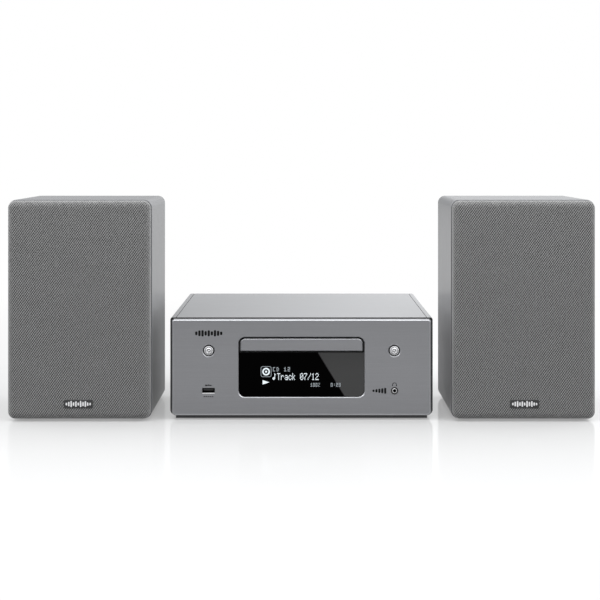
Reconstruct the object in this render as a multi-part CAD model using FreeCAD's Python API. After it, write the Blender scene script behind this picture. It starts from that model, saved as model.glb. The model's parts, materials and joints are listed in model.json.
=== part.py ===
import FreeCAD, Part
import math
import os

# Mini hifi system: a receiver with a disc drawer between two bookshelf speakers.
# Millimetres. +X is to the right seen from the front, the fronts face -Y, +Z is up.
# The origin is on the floor, in the middle of the whole set.

V = FreeCAD.Vector

# ---- Driving dimensions: the receiver unit ----
UNIT_HALF_W = 140.0
UNIT_FRONT = -148.0
UNIT_BACK = 140.0
UNIT_BOTTOM = 4.5
PLINTH_BOTTOM = 0.8
UNIT_TOP = 108.0
PANEL_T = 3.0
PANEL_HALF_W = UNIT_HALF_W - 1.7
PANEL_TOP = UNIT_TOP - 1.1
SKIRT_BACK = UNIT_FRONT + 8.0
CHEEK_FACE = 6.0
CHEEK_T = 3.0
GROOVE = 0.6
SHEET = 1.5
REAR_CORNER_R = 6.0

WINDOW_HALF_W = 67.0
WINDOW_Z = (24.2, 87.8)
WINDOW_R = 7.0
DRAWER_HALF_W = 65.0
DRAWER_Z = (73.0, 86.3)
BUTTON_X = 98.6
BUTTON_Z = 73.6
BUTTON_R = 5.1
PORT_X = 98.8
PORT_Z = 31.0
JACK_BORE_R = 1.78

# ---- The disc loader ----
DISC_X, DISC_Y = 0.0, -79.5
DISC_R = 60.5
SMALL_DISC_R = 40.5
TRAY_HALF_W = 63.0
TRAY_Z = (76.5, 82.5)
TRAY_BACK = -2.0
TRAY_SLOT = 19.0
RACK_MODULE = 1.0
RACK_LINE_X = -54.0
PINION_TEETH = 18
PINION_Y = -130.0
SLED_MODULE = 0.8
SLED_TEETH = 15
SLED_LINE_X = -17.0
SLED_Y = -38.5
PICKUP_Y = -55.5
HINGE_Y = 1.0
HINGE_Z = 63.5
LOADER_FLOOR = (66.0, 68.0)
LEG_XY = ((-64.0, -130.0), (64.0, -130.0), (-64.0, 2.0), (64.0, 2.0))

# ---- Speaker terminals, on the unit and on the speakers ----
POST_R = 3.0
POST_BORE_R = 2.02
CAP_BORE_R = 3.06
CAP_R = 6.0
POST_PITCH = 19.0
UNIT_POST_X = -60.0
UNIT_POST_Z = 78.0

# ---- Driving dimensions: one speaker ----
SPEAKER_X = 235.2
SPEAKER_Y = -6.0
SPEAKER_HALF_W = 76.2
SPEAKER_Z = (1.6, 233.8)
SPEAKER_FRONT = -155.0
CLOTH_FRONT = -154.0
GRILLE_BACK = -142.0
CABINET_FRONT = -140.5
CABINET_BACK = 20.0
CABINET_WALL = 9.0
CABINET_R = 8.0
GRILLE_R = 7.6
GRILLE_INSET = 0.9
CLOTH_T = 1.4
BAFFLE_FRONT = -137.5
BAFFLE_T = 12.0
WOOFER_Z = 88.0
WOOFER_FLANGE_R = 58.0
TWEETER_Z = 186.0
PORT_TUBE_Z = 176.0
PORT_TUBE_R = 17.0
CUP_Z = 62.0
PEGS = ((-60.0, 20.0), (60.0, 20.0), (-60.0, 218.0), (60.0, 218.0))

PRESSURE_ANGLE = math.radians(20.0)
FAR = 400.0


# ---- Helpers ----
def box(x0, x1, y0, y1, z0, z1):
    return Part.makeBox(x1 - x0, y1 - y0, z1 - z0, V(x0, y0, z0))


def rod_x(r, y, z, x0, x1):
    return Part.makeCylinder(r, x1 - x0, V(x0, y, z), V(1, 0, 0))


def rod_y(r, x, z, y0, y1):
    return Part.makeCylinder(r, y1 - y0, V(x, y0, z), V(0, 1, 0))


def rod_z(r, x, y, z0, z1):
    return Part.makeCylinder(r, z1 - z0, V(x, y, z0), V(0, 0, 1))


def tube_y(outer, inner, x, z, y0, y1):
    return rod_y(outer, x, z, y0, y1).cut(rod_y(inner, x, z, y0 - 1, y1 + 1))


def rounded_face(a, b, radii, place):
    """A rectangle a[0]..a[1] by b[0]..b[1], its corners rounded by radii in the order
    (low a, low b), (high a, low b), (high a, high b), (low a, high b)."""
    corners = ((a[0], b[0], 1, 1), (a[1], b[0], -1, 1), (a[1], b[1], -1, -1), (a[0], b[1], 1, -1))
    diagonal = 1 - math.sqrt(0.5)
    edges = []
    points = []
    for i, (ca, cb, da, db) in enumerate(corners):
        r = radii[i]
        along_a = place(ca + da * r, cb)
        along_b = place(ca, cb + db * r)
        # going round anticlockwise, corners 0 and 2 are reached along b first
        start, end = (along_b, along_a) if i % 2 == 0 else (along_a, along_b)
        points.append((start, end))
        if r > 0:
            middle = place(ca + da * r * diagonal, cb + db * r * diagonal)
            edges.append(Part.Arc(start, middle, end).toShape())
    for i in range(4):
        start = points[i][1]
        end = points[(i + 1) % 4][0]
        if start.distanceToPoint(end) > 1e-6:
            edges.append(Part.makeLine(start, end))
    wire = Part.Wire(Part.__sortEdges__(edges))
    return Part.Face(wire)


def block_y(x, z, y0, y1, radii=(0, 0, 0, 0)):
    face = rounded_face(x, z, radii, lambda a, b: V(a, y0, b))
    return face.extrude(V(0, y1 - y0, 0))


def block_z(x, y, z0, z1, radii=(0, 0, 0, 0)):
    face = rounded_face(x, y, radii, lambda a, b: V(a, b, z0))
    return face.extrude(V(0, 0, z1 - z0))


def edges_at_y(shape, y, reach_x=FAR):
    """The edges that lie in the plane at y, no further than reach_x from the middle."""
    found = []
    for edge in shape.Edges:
        b = edge.BoundBox
        flat = abs(b.YMin - y) < 1e-5 and abs(b.YMax - y) < 1e-5
        if flat and max(abs(b.XMin), abs(b.XMax)) <= reach_x:
            found.append(edge)
    return found


def fuse(shapes):
    shapes = list(shapes)
    return shapes[0].multiFuse(shapes[1:]).removeSplitter()


def cut(shape, tools):
    for tool in tools:
        shape = shape.cut(tool)
    return shape


def revolve_y(points, x, z):
    """Turns an outline of (radius, y) points about the line along Y through x, z."""
    ring = [V(x + r, y, z) for r, y in points]
    face = Part.Face(Part.makePolygon(ring + [ring[0]]))
    return face.revolve(V(x, 0, z), V(0, 1, 0), 360)


def mirrored(shape):
    return shape.mirror(V(0, 0, 0), V(1, 0, 0))


# ---- Gears ----
def involute(angle):
    return math.tan(angle) - angle


def tooth_half_angle(radius, module, teeth, backlash):
    pitch_r = module * teeth / 2
    base_r = pitch_r * math.cos(PRESSURE_ANGLE)
    at_pitch = math.pi / (2 * teeth) - backlash / (2 * pitch_r)
    if radius <= base_r:
        return at_pitch + involute(PRESSURE_ANGLE)
    return at_pitch + involute(PRESSURE_ANGLE) - involute(math.acos(base_r / radius))


def spur_gear(x, y, z0, z1, module, teeth, bore_r, gap_at, backlash=0.2):
    """An involute gear with a gap between two teeth at the angle gap_at (radians)."""
    pitch_r = module * teeth / 2
    root_r = pitch_r - 1.25 * module
    base_r = pitch_r * math.cos(PRESSURE_ANGLE)
    tip_r = pitch_r + 0.95 * module
    flank = [root_r] + [base_r + (tip_r - base_r) * k / 4 for k in range(5)]
    outline = []
    for tooth in range(teeth):
        middle = gap_at + (tooth + 0.5) * 2 * math.pi / teeth
        rise = [(r, middle - tooth_half_angle(r, module, teeth, backlash)) for r in flank]
        fall = [(r, middle + tooth_half_angle(r, module, teeth, backlash)) for r in reversed(flank)]
        outline += rise + fall
    ring = [V(x + r * math.cos(t), y + r * math.sin(t), z0) for r, t in outline]
    blank = Part.Face(Part.makePolygon(ring + [ring[0]])).extrude(V(0, 0, z1 - z0))
    return blank.cut(rod_z(bore_r, x, y, z0 - 1, z1 + 1))


def rack_teeth(line_x, facing, mesh_y, y0, y1, z0, z1, module, backlash=0.2):
    """Straight rack teeth between y0 and y1, with one tooth centred on mesh_y."""
    pitch = math.pi * module
    lean = math.tan(PRESSURE_ANGLE)
    half = pitch / 4 - backlash / 2
    root_x = line_x - facing * 1.3 * module
    tip_x = line_x + facing * 0.95 * module
    root_half = half + 1.3 * module * lean
    tip_half = half - 0.95 * module * lean
    teeth = []
    first = math.ceil((y0 + root_half - mesh_y) / pitch)
    last = math.floor((y1 - root_half - mesh_y) / pitch)
    for k in range(first, last + 1):
        y = mesh_y + k * pitch
        ring = [
            V(root_x, y - root_half, z0),
            V(tip_x, y - tip_half, z0),
            V(tip_x, y + tip_half, z0),
            V(root_x, y + root_half, z0),
        ]
        teeth.append(Part.Face(Part.makePolygon(ring + [ring[0]])).extrude(V(0, 0, z1 - z0)))
    return teeth


# ---- The unit's case ----
def front_panel():
    outline = (-PANEL_HALF_W, PANEL_HALF_W), (UNIT_BOTTOM, PANEL_TOP)
    panel = block_y(*outline, UNIT_FRONT, SKIRT_BACK, (5, 5, 3, 3))
    panel = panel.makeFillet(2.5, edges_at_y(panel, UNIT_FRONT))
    inside_x = PANEL_HALF_W - PANEL_T
    hollow = box(-inside_x, inside_x, UNIT_FRONT + PANEL_T, SKIRT_BACK + 1,
                 UNIT_BOTTOM + PANEL_T, PANEL_TOP - PANEL_T)
    through = UNIT_FRONT - 1, UNIT_FRONT + PANEL_T + 1
    window = block_y((-WINDOW_HALF_W, WINDOW_HALF_W), WINDOW_Z, *through, (WINDOW_R,) * 4)
    usb = block_y((-PORT_X - 6.8, -PORT_X + 6.8), (PORT_Z - 3.05, PORT_Z + 3.05), *through, (0.7,) * 4)
    tools = [hollow, window, usb, rod_y(4.0, PORT_X, PORT_Z, *through)]
    for x in (-BUTTON_X, BUTTON_X):
        tools.append(rod_y(BUTTON_R + 0.8, x, BUTTON_Z, *through))
        tools.append(Part.makeCone(6.9, BUTTON_R + 0.8, 1.0, V(x, UNIT_FRONT, BUTTON_Z), V(0, 1, 0)))
    panel = cut(panel, tools)
    return panel.makeChamfer(0.7, edges_at_y(panel, UNIT_FRONT, WINDOW_HALF_W + 0.1))


def window_frame():
    frame = block_y((-74, 74), (17, 95), UNIT_FRONT + PANEL_T, UNIT_FRONT + 5.5, (3,) * 4)
    drawer_way = box(-66.8, 66.8, UNIT_FRONT, UNIT_FRONT + 8, 71.8, 87.7)
    display_way = box(-46, 46, UNIT_FRONT, UNIT_FRONT + 8, 29, 66)
    return cut(frame, [drawer_way, display_way])


def display_glass():
    x = (-WINDOW_HALF_W + 0.4, WINDOW_HALF_W - 0.4)
    z = (WINDOW_Z[0] + 0.4, 71.4)
    r = WINDOW_R - 0.4
    return block_y(x, z, UNIT_FRONT + 0.7, UNIT_FRONT + PANEL_T, (r, r, 0, 0))


def display_board():
    board_y = -136.0
    lower = box(-128, 128, board_y, board_y + 1.6, 16, 64)
    ears = [box(-128, -84, board_y, board_y + 1.6, 64, 84), box(84, 128, board_y, board_y + 1.6, 64, 84)]
    board = fuse([lower] + ears)
    display = box(-45, 45, -142.3, board_y, 30, 62)
    switches = []
    for x in (-BUTTON_X, BUTTON_X):
        switches.append(box(x - 3, x + 3, -140.6, board_y, BUTTON_Z - 3, BUTTON_Z + 3))
    return Part.makeCompound([board, display] + switches)


def side_cheek():
    """The right-hand cheek: an extruded channel with a ledge for the top plate."""
    y = SKIRT_BACK + 0.3, UNIT_BACK
    inner_x = UNIT_HALF_W - CHEEK_FACE
    wall_x = UNIT_HALF_W - CHEEK_T
    profile = block_y((inner_x, UNIT_HALF_W), (UNIT_BOTTOM, UNIT_TOP), *y, (0, 5, 2.5, 0))
    profile = profile.cut(box(inner_x - 1, wall_x, y[0] - 1, 134, UNIT_BOTTOM + SHEET, UNIT_TOP - 3))
    ledge = box(inner_x - 4, wall_x, y[0], 134, UNIT_TOP - 3.6, UNIT_TOP - SHEET - 0.3)
    lower = box(inner_x - 4, wall_x, y[0], 134, UNIT_BOTTOM, UNIT_BOTTOM + SHEET)
    cheek = fuse([profile, ledge, lower])
    plan = block_z((-UNIT_HALF_W, UNIT_HALF_W), (-FAR, UNIT_BACK), 0, 120,
                   (0, 0, REAR_CORNER_R, REAR_CORNER_R))
    return cheek.common(plan)


def top_plate():
    half = UNIT_HALF_W - CHEEK_FACE - GROOVE
    plate = box(-half, half, SKIRT_BACK + 0.3, UNIT_BACK, UNIT_TOP - SHEET, UNIT_TOP)
    back_flange = box(-125, 125, 137.1, 138.3, 94.5, UNIT_TOP - SHEET)
    stiffener = box(-120, 120, 60, 61.2, 98, UNIT_TOP - SHEET)
    return fuse([plate, back_flange, stiffener]).cut(screw_holes(1.55, 90, 110))


def screw_places():
    return [(x, z) for x in (-118.0, 0.0, 118.0) for z in (12.0, 99.0)]


def screw_holes(r, low, high):
    return fuse([rod_y(r, x, z, 130, 145) for x, z in screw_places() if low < z < high])


def case_screws():
    screws = []
    for x, z in screw_places():
        head = rod_y(2.8, x, z, UNIT_BACK, UNIT_BACK + 1.7)
        cross = fuse([box(x - 1.8, x + 1.8, UNIT_BACK + 0.8, 143, z - 0.35, z + 0.35),
                      box(x - 0.35, x + 0.35, UNIT_BACK + 0.8, 143, z - 1.8, z + 1.8)])
        screws.append(fuse([head, rod_y(1.5, x, z, 131, UNIT_BACK)]).cut(cross))
    return Part.makeCompound(screws)


def chassis_base():
    floor = UNIT_BOTTOM, UNIT_BOTTOM + SHEET
    plate = box(-129.7, 129.7, SKIRT_BACK + 0.3, 138.3, *floor)
    front = box(-129.7, 129.7, SKIRT_BACK + 0.3, SKIRT_BACK + 1.5, floor[0], 14)
    back = box(-129.7, 129.7, 137.1, 138.3, floor[0], 20)
    sides = [box(x, x + 1.2, -130, 130, floor[0], 18) for x in (-129.7, 128.5)]
    pillars = [rod_z(3, x, y, floor[0], 14) for x in (-116, 40, 58, 118) for y in (-52, 108)]
    plinth = box(-134, 134, SKIRT_BACK + 0.3, SKIRT_BACK + 6, PLINTH_BOTTOM, UNIT_BOTTOM)
    base = fuse([plate, front, back, plinth] + sides + pillars)
    vents = [box(-110 + 9 * k, -107 + 9 * k, -30, 60, 0, 10) for k in range(8)]
    return cut(base, vents + [screw_holes(1.55, 0, 30)])


def rear_panel():
    half = UNIT_HALF_W - CHEEK_FACE - 0.3
    panel = box(-half, half, UNIT_BACK - SHEET, UNIT_BACK, UNIT_BOTTOM + 0.2, UNIT_TOP - SHEET - 0.3)
    ways = [screw_holes(1.6, 0, 120)]
    ways.append(block_around((UNIT_POST_X, UNIT_POST_Z), 40.3, 10.3, 130, 150))
    for x, z in phono_places():
        ways.append(rod_y(5.3, x, z, 130, 150))
    ways.append(rod_y(5.3, AERIAL[0], AERIAL[1], 130, 150))
    ways.append(block_around(OPTICAL, 5.2, 5.2, 130, 150))
    ways.append(block_around(NETWORK, 8.3, 7.3, 130, 150))
    ways.append(block_around(INLET, 13.3, 8.3, 130, 150))
    for row in range(5):
        for column in range(4):
            x = -112 + column * 32
            z = 26 + row * 6
            ways.append(block_y((x, x + 26), (z, z + 2.4), 130, 150, (1.1,) * 4))
    return cut(panel, ways)


def unit_feet():
    feet = []
    for x in (-112, 112):
        for y in (-122, 112):
            pad = rod_z(10, x, y, 0, UNIT_BOTTOM)
            low = [e for e in pad.Edges if e.BoundBox.ZMax < 0.01]
            feet.append(pad.makeChamfer(0.8, low))
    return Part.makeCompound(feet)


# ---- Controls and ports on the front ----
def usb_port():
    x, z = -PORT_X, PORT_Z
    shell = box(x - 6.6, x + 6.6, UNIT_FRONT + 0.5, -136.2, z - 2.85, z + 2.85)
    hollow = box(x - 6.2, x + 6.2, UNIT_FRONT, -138, z - 2.45, z + 2.45)
    tongue = box(x - 5.2, x + 5.2, UNIT_FRONT + 1.4, -138, z + 0.2, z + 1.9)
    return fuse([shell.cut(hollow), tongue])


def headphone_jack():
    x, z = PORT_X, PORT_Z
    bush = rod_y(3.8, x, z, UNIT_FRONT + 0.2, UNIT_FRONT + PANEL_T)
    body = box(x - 6, x + 6, UNIT_FRONT + PANEL_T, -136.2, z - 5.5, z + 5.5)
    return fuse([bush, body]).cut(rod_y(JACK_BORE_R, x, z, UNIT_FRONT - 1, -138))


def push_button(x):
    """A chromed cap with a dished face, a retaining collar and a stem to its switch."""
    back = UNIT_FRONT + PANEL_T + 0.3
    outline = [(0, UNIT_FRONT + 0.7), (1.6, UNIT_FRONT + 0.55), (3.2, UNIT_FRONT + 0.25)]
    outline += [(3.9, UNIT_FRONT), (BUTTON_R - 0.4, UNIT_FRONT), (BUTTON_R, UNIT_FRONT + 0.4)]
    outline += [(BUTTON_R, back), (7.0, back), (7.0, back + 0.9), (1.6, back + 0.9)]
    outline += [(1.6, -142.2), (0, -142.2)]
    return revolve_y(outline, x, BUTTON_Z)


# ---- Electronics ----
def main_board():
    board = box(-122, 46, -58, 118, 14, 15.6).cut(rod_z(5, LEG_XY[2][0], LEG_XY[2][1], 10, 20))
    sink = [box(-118, -80, -20, 80, 15.6, 22)]
    sink += [box(-118 + 6 * k, -116.4 + 6 * k, -20, 80, 22, 70) for k in range(7)]
    cans = [rod_z(8, x, 30, 15.6, 42) for x in (-52, -30, -8)]
    processor = box(0, 24, 60, 84, 15.6, 18)
    shield = box(4, 42, -50, -10, 15.6, 26)
    return Part.makeCompound([board, fuse(sink), processor, shield] + cans)


def power_supply():
    board = box(52, 124, -58, 118, 14, 15.6).cut(rod_z(5, LEG_XY[3][0], LEG_XY[3][1], 10, 20))
    core = box(76, 118, -10, 34, 15.6, 52)
    winding = box(81, 113, -18, 42, 21, 46)
    cans = [rod_z(9, x, 68, 15.6, 45) for x in (82, 106)]
    choke = rod_z(11, 92, -40, 15.6, 30).cut(rod_z(5, 92, -40, 15, 31))
    return Part.makeCompound([board, fuse([core, winding]), choke] + cans)


AERIAL = (54.0, 88.0)
OPTICAL = (54.0, 68.0)
NETWORK = (82.0, 78.0)
INLET = (106.0, 28.0)


def block_around(place, half_x, half_z, y0, y1):
    return box(place[0] - half_x, place[0] + half_x, y0, y1, place[1] - half_z, place[1] + half_z)


def phono_places():
    return [(x, z) for x in (8.0, 26.0) for z in (70.0, 88.0)]


def phono_socket(x, z):
    shell = tube_y(4.15, 1.65, x, z, UNIT_BACK - 6, UNIT_BACK + 9)
    collar = tube_y(5.0, 4.15, x, z, UNIT_BACK - 4, UNIT_BACK + 1)
    body = box(x - 5, x + 5, 122, UNIT_BACK - 6, z - 6, z + 6)
    return fuse([shell, collar, body])


def network_socket():
    body = block_around(NETWORK, 8, 7, 120, UNIT_BACK + 1)
    mouth = block_around(NETWORK, 5.9, 4.2, 127, UNIT_BACK + 2)
    return body.cut(mouth)


def optical_socket():
    body = block_around(OPTICAL, 5, 5, 124, UNIT_BACK + 1.5)
    seat = block_around(OPTICAL, 3.6, 3.6, UNIT_BACK + 0.5, UNIT_BACK + 2)
    return body.cut(seat)


def mains_inlet():
    body = block_around(INLET, 13, 8, 121, UNIT_BACK + 1.2)
    mouth = block_y((INLET[0] - 9, INLET[0] + 9), (INLET[1] - 4.6, INLET[1] + 4.6), 127, 150, (4.4,) * 4)
    pins = [rod_y(1.15, INLET[0] + x, INLET[1], 126, UNIT_BACK - 1.5) for x in (-4.3, 4.3)]
    return fuse([body.cut(mouth)] + pins)


def aerial_socket():
    shell = tube_y(4.75, 1.2, AERIAL[0], AERIAL[1], UNIT_BACK - 6, UNIT_BACK + 9)
    return fuse([shell, block_around(AERIAL, 5, 5, 124, UNIT_BACK - 6)])


def rear_sockets():
    phono = [phono_socket(x, z) for x, z in phono_places()]
    others = [network_socket(), optical_socket(), mains_inlet(), aerial_socket()]
    return Part.makeCompound(phono + others)


# ---- Speaker terminals ----
def post(x, z, y0, y1):
    return rod_y(POST_R, x, z, y0, y1).cut(rod_y(POST_BORE_R, x, z, y0 + 1.5, y1 + 1))


def screw_cap(x, z, y0, y1):
    """A ribbed cap that turns on its post; a banana plug goes through its middle."""
    cap = rod_y(CAP_R, x, z, y0, y1).cut(rod_y(CAP_BORE_R, x, z, y0 - 1, y1 + 1))
    grooves = []
    for k in range(12):
        t = 2 * math.pi * k / 12
        x_groove = x + (CAP_R + 0.4) * math.cos(t)
        z_groove = z + (CAP_R + 0.4) * math.sin(t)
        grooves.append(rod_y(0.9, x_groove, z_groove, y0 + 1.5, y1 + 1))
    return cut(cap, grooves)


def unit_post_places():
    return [UNIT_POST_X + POST_PITCH * k for k in (-1.5, -0.5, 0.5, 1.5)]


def terminal_block():
    x0, x1 = UNIT_POST_X - 42, UNIT_POST_X + 42
    plate = block_y((x0, x1), (UNIT_POST_Z - 12, UNIT_POST_Z + 12), UNIT_BACK, UNIT_BACK + 2, (2,) * 4)
    body = box(x0 + 2, x1 - 2, 128, UNIT_BACK, UNIT_POST_Z - 10, UNIT_POST_Z + 10)
    posts = [post(x, UNIT_POST_Z, UNIT_BACK + 2, UNIT_BACK + 14.2) for x in unit_post_places()]
    return Part.makeCompound([fuse([plate, body])] + posts)


def unit_cap(x):
    return screw_cap(x, UNIT_POST_Z, UNIT_BACK + 2.6, UNIT_BACK + 15)


# ---- The disc loader ----
def drawer_front():
    x = (-DRAWER_HALF_W, DRAWER_HALF_W)
    front = block_y(x, DRAWER_Z, UNIT_FRONT, UNIT_FRONT + 4.7, (0.6, 0.6, 5, 5))
    return front.makeChamfer(0.9, edges_at_y(front, UNIT_FRONT))


def disc_tray():
    front = UNIT_FRONT + 4.7
    plate = box(-TRAY_HALF_W, TRAY_HALF_W, front, TRAY_BACK, *TRAY_Z)
    rail = box(-TRAY_HALF_W, -55.3, front + 6, TRAY_BACK + 8, TRAY_Z[0], TRAY_Z[1])
    rib = box(-60, RACK_LINE_X - 1.2, front + 6, TRAY_BACK + 8, TRAY_Z[0] - 4.1, TRAY_Z[0])
    tray = fuse([plate, rail, rib])
    recess = rod_z(DISC_R, DISC_X, DISC_Y, 80, 90)
    small_recess = rod_z(SMALL_DISC_R, DISC_X, DISC_Y, 79.2, 90)
    slot = box(-TRAY_SLOT, TRAY_SLOT, DISC_Y, 20, 60, 90)
    slot_end = rod_z(TRAY_SLOT, DISC_X, DISC_Y, 60, 90)
    tray = cut(tray, [recess, small_recess, slot, slot_end])
    teeth = rack_teeth(RACK_LINE_X, 1, PINION_Y, front + 6, TRAY_BACK + 8,
                       TRAY_Z[0] - 4.1, TRAY_Z[0], RACK_MODULE)
    return fuse([tray] + teeth)


def loading_gear():
    x = RACK_LINE_X + RACK_MODULE * PINION_TEETH / 2
    return spur_gear(x, PINION_Y, 72.6, 76.1, RACK_MODULE, PINION_TEETH, 2.05, math.pi)


def loader_frame():
    z0, z1 = LOADER_FLOOR
    floor = box(-69, 69, -141, 10, z0, z1).cut(box(-40, 40, -104, 5, z0 - 1, z1 + 1))
    walls = []
    for side in (-1, 1):
        inner, outer, ledge = side * 64.3, side * 69, side * 60.7
        x = sorted((inner, outer))
        walls.append(box(*x, -141, 10, z1 - 1, 84))
        walls.append(box(*x, DISC_Y - 12, DISC_Y + 12, 83, 89))
        x = sorted((ledge, inner + side * 0.5))
        walls.append(box(*x, -141, 8, 74.2, 76.2))
        walls += [box(*x, y, y + 20, 82.8, 84) for y in (-136, -32)]
        lug = box(*sorted((side * 37.6, side * 40.6)), HINGE_Y - 4, HINGE_Y + 4, 59, z1)
        walls.append(lug)
        arm = box(*sorted((side * 39.0, side * 44.0)), HINGE_Y - 4, HINGE_Y + 4, 64, z1)
        walls.append(arm)
    back = box(-69, 69, 8, 10, z0, 84)
    bridge = box(-66, 66, DISC_Y - 12, DISC_Y + 12, 87, 89)
    legs = [rod_z(4, x, y, UNIT_BOTTOM + SHEET, z0 + 0.5) for x, y in LEG_XY]
    gear_x = RACK_LINE_X + RACK_MODULE * PINION_TEETH / 2
    gear_post = [rod_z(2.0, gear_x, PINION_Y, z0 + 0.5, 76.3), rod_z(4.0, gear_x, PINION_Y, z0 + 0.5, 72.2)]
    frame = fuse([floor, back, bridge] + walls + legs + gear_post)
    frame = frame.cut(rod_z(9, DISC_X, DISC_Y, 80, 95))
    frame = frame.cut(rod_x(2.06, HINGE_Y, HINGE_Z, -50, 50))
    motor = fuse([rod_z(10, -18, -124, 48, z0), rod_z(4, -18, -124, z0, 72)])
    frame = frame.cut(rod_z(4.3, -18, -124, z0 - 1, z1 + 1))
    return Part.makeCompound([frame, motor])


def traverse():
    """The sub-chassis under the disc: spindle motor, guide rods and hinge pins."""
    plate = box(-35, 35, -100, HINGE_Y + 2, 62, 65)
    pickup_way = box(-20, 18, -68, -3, 60, 67)
    spindle_way = rod_z(6, DISC_X, DISC_Y, 60, 67)
    plate = cut(plate, [pickup_way, spindle_way])
    posts = [box(x - 2.1, x + 2.1, y, y + 3, 64.9, 71) for x in (-11, 11) for y in (-73, -1.2)]
    lugs = [box(x, x + 4, HINGE_Y - 2, HINGE_Y + 2, 61.5, 65.5) for x in (-35, 31)]
    pins = [rod_x(2.0, HINGE_Y, HINGE_Z, -39.8, -34.5), rod_x(2.0, HINGE_Y, HINGE_Z, 34.5, 39.8)]
    gear_x = SLED_LINE_X - SLED_MODULE * SLED_TEETH / 2
    gear_post = [rod_z(1.5, gear_x, SLED_Y, 64.5, 70), rod_z(3, gear_x, SLED_Y, 64.5, 65.8)]
    sled_motor = box(21, 33, -60, -36, 64.9, 74)
    deck = fuse([plate, sled_motor] + posts + lugs + pins + gear_post)
    rods = [rod_y(1.5, x, 68.5, -73, 1.8) for x in (-11, 11)]
    deck = fuse([deck] + rods)
    motor = fuse([rod_z(12.5, DISC_X, DISC_Y, 50, 62), rod_z(5, DISC_X, DISC_Y, 61, 66),
                  rod_z(1.0, DISC_X, DISC_Y, 65, 82)])
    return Part.makeCompound([deck, motor])


def turntable():
    outline = [(1.06, 70), (4, 70), (4, 78), (15, 78), (15, 81), (7.3, 81), (6.6, 82.6), (1.06, 83)]
    ring = [V(DISC_X + r, DISC_Y, z) for r, z in outline]
    face = Part.Face(Part.makePolygon(ring + [ring[0]]))
    return face.revolve(V(DISC_X, DISC_Y, 0), V(0, 0, 1), 360)


def pickup():
    y0, y1 = PICKUP_Y - 12, PICKUP_Y + 12
    body = box(-14, 14, y0, y1, 64.9, 72)
    coils = box(-8, 8, PICKUP_Y - 7, PICKUP_Y + 7, 71, 76)
    lens = rod_z(3.2, 0, PICKUP_Y, 75, 77.5)
    rib = box(SLED_LINE_X + 1.0, -13.9, PICKUP_Y - 20.5, PICKUP_Y + 20.5, 66.4, 69.2)
    teeth = rack_teeth(SLED_LINE_X, -1, SLED_Y, PICKUP_Y - 20.5, PICKUP_Y + 20.5, 66.4, 69.2, SLED_MODULE)
    sled = fuse([body, coils, lens, rib] + teeth)
    return cut(sled, [rod_y(1.56, x, 68.5, -90, 20) for x in (-11, 11)])


def sled_gear():
    x = SLED_LINE_X - SLED_MODULE * SLED_TEETH / 2
    return spur_gear(x, SLED_Y, 66.2, 69.4, SLED_MODULE, SLED_TEETH, 1.56, 0.0)


def disc_clamp():
    puck = rod_z(13, DISC_X, DISC_Y, 83.3, 86.4).cut(rod_z(8.2, DISC_X, DISC_Y, 83, 85))
    neck = rod_z(8.4, DISC_X, DISC_Y, 86.2, 89.5)
    collar = rod_z(11, DISC_X, DISC_Y, 89.3, 90.8)
    return fuse([puck, neck, collar])


# ---- One speaker, built about x = 0, then moved to SPEAKER_X, SPEAKER_Y ----
def cabinet():
    x = (-SPEAKER_HALF_W, SPEAKER_HALF_W)
    outer = block_y(x, SPEAKER_Z, CABINET_FRONT, CABINET_BACK, (CABINET_R,) * 4)
    outer = outer.makeChamfer(0.8, edges_at_y(outer, CABINET_FRONT))
    outer = outer.makeFillet(4, edges_at_y(outer, CABINET_BACK))
    w = CABINET_WALL
    hollow = block_y((x[0] + w, x[1] - w), (SPEAKER_Z[0] + w, SPEAKER_Z[1] - w),
                     CABINET_FRONT - 1, CABINET_BACK - w, (2,) * 4)
    back_way = CABINET_BACK - 20, CABINET_BACK + 5
    port_way = rod_y(PORT_TUBE_R + 2.3, 0, PORT_TUBE_Z, *back_way)
    cup_way = box(-30, 30, *back_way, CUP_Z - 21, CUP_Z + 21)
    return cut(outer, [hollow, port_way, cup_way])


def baffle():
    inset = CABINET_WALL + 0.1
    x = (-SPEAKER_HALF_W + inset, SPEAKER_HALF_W - inset)
    z = (SPEAKER_Z[0] + inset, SPEAKER_Z[1] - inset)
    y = BAFFLE_FRONT, BAFFLE_FRONT + BAFFLE_T
    board = block_y(x, z, *y, (2,) * 4)
    ways = [rod_y(50.3, 0, WOOFER_Z, -160, -100), rod_y(26.3, 0, TWEETER_Z, -160, -100)]
    ways += [rod_y(3.2, px, pz, -160, BAFFLE_FRONT + 8) for px, pz in PEGS]
    return cut(board, ways)


def grille_frame():
    inset = GRILLE_INSET + CLOTH_T + 0.4
    x = (-SPEAKER_HALF_W + inset, SPEAKER_HALF_W - inset)
    z = (SPEAKER_Z[0] + inset, SPEAKER_Z[1] - inset)
    front = CLOTH_FRONT + 2.6
    ring = block_y(x, z, front, GRILLE_BACK, (GRILLE_R - 1.8,) * 4)
    ring = ring.makeFillet(4.8, edges_at_y(ring, front))
    ring = ring.cut(block_y((x[0] + 11, x[1] - 11), (z[0] + 11, z[1] - 11), -160, -130, (4,) * 4))
    badge_bar = box(-66, 66, front, front + 3, 11, 27)
    pegs = [rod_y(2.85, px, pz, front + 4, BAFFLE_FRONT + 6) for px, pz in PEGS]
    pads = [box(min(px, px * 1.15), max(px, px * 1.15), front + 4, GRILLE_BACK, pz - 5, pz + 5)
            for px, pz in PEGS]
    return fuse([ring, badge_bar] + pegs + pads)


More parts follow.
